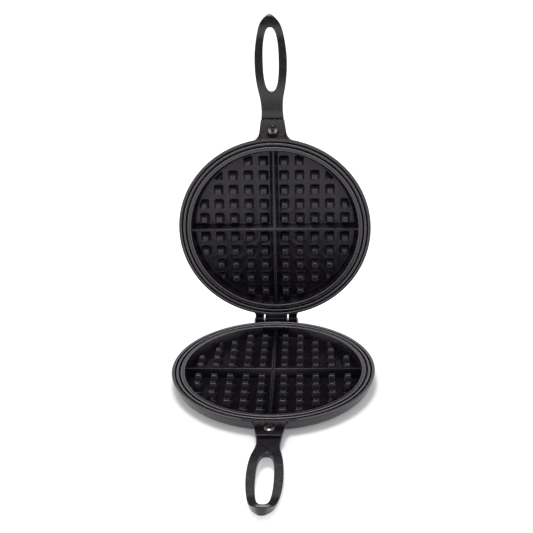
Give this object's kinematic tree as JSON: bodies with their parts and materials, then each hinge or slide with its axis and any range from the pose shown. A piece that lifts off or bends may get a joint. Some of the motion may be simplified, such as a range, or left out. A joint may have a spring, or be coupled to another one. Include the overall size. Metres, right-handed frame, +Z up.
{
  "type": "stovetop waffle iron",
  "caption": "Round cast-iron waffle iron for the stovetop: two hinged grid plates with drip grooves, each with a bolted oval loop handle, shown open.",
  "frame": {"origin": "centre of the flat underside of the base plate, where the stove touches it", "axes": "+Z up, +Y back to the hinge, the base handle points to -Y, +X to the right seen from the handle"},
  "size_m": [0.1996, 0.3448, 0.3412],
  "materials": {
    "cast_iron": "satin, seasoned",
    "hinge_steel": "dark, oiled",
    "plated_steel": "bright, zinc plated"
  },
  "bodies": {
    "base": {"base_plate": "cast_iron", "hinge_pin": "hinge_steel", "base_handle": "cast_iron", "base_handle_screw": "plated_steel", "base_handle_nut": "plated_steel"},
    "lid": {"lid_plate": "cast_iron", "lid_handle": "cast_iron", "lid_handle_screw": "plated_steel", "lid_handle_nut": "plated_steel"}
  },
  "joints": [
    {"name": "lid_hinge", "type": "hinge", "parent": "base", "child": "lid", "pos_m": [0, 0.105, 0.014], "axis": [1, 0, 0], "range_deg": [0, 88]}
  ]
}
